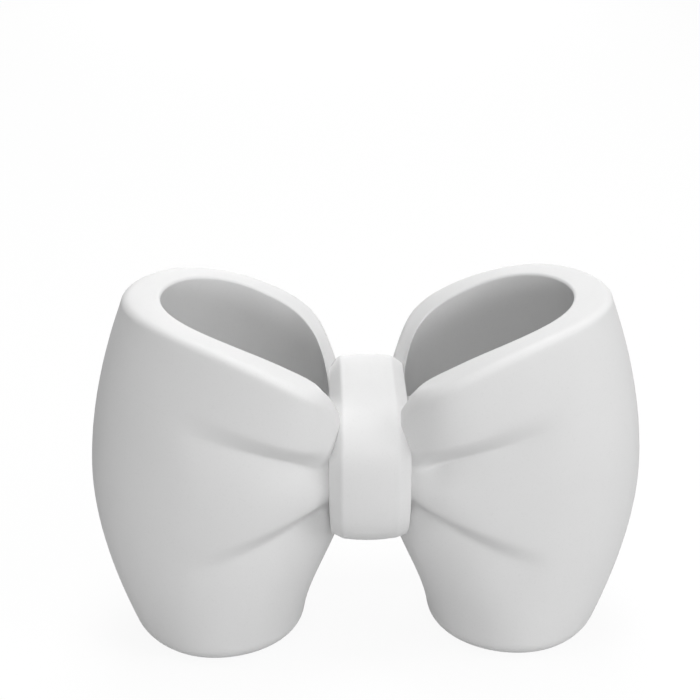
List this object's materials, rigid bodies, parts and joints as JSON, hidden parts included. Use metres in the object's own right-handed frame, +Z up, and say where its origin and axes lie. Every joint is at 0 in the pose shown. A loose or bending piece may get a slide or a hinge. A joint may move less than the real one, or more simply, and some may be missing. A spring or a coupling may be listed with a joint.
{
  "type": "toothbrush holder",
  "caption": "Bow-shaped toothbrush holder: open cup-shaped loops with sloping rims, joined under a wrapped knot band, standing on rounded feet.",
  "frame": {"origin": "middle of the bow on the standing plane, midway between the two feet", "axes": "+X across the bow to the viewer's right, +Y to the back (the front faces -Y), +Z up"},
  "size_m": [0.18, 0.0775, 0.1202],
  "materials": {
    "cast_white": "matte cast resin",
    "band_white": "matte cast resin",
    "pad_rubber": "matte",
    "dowel_wood": "plain beech"
  },
  "bodies": {
    "root": {"left_loop_cup": "cast_white", "right_loop_cup": "cast_white", "knot_band": "band_white", "left_foot_pad": "pad_rubber", "right_foot_pad": "pad_rubber", "neck_dowels": "dowel_wood"}
  },
  "joints": []
}
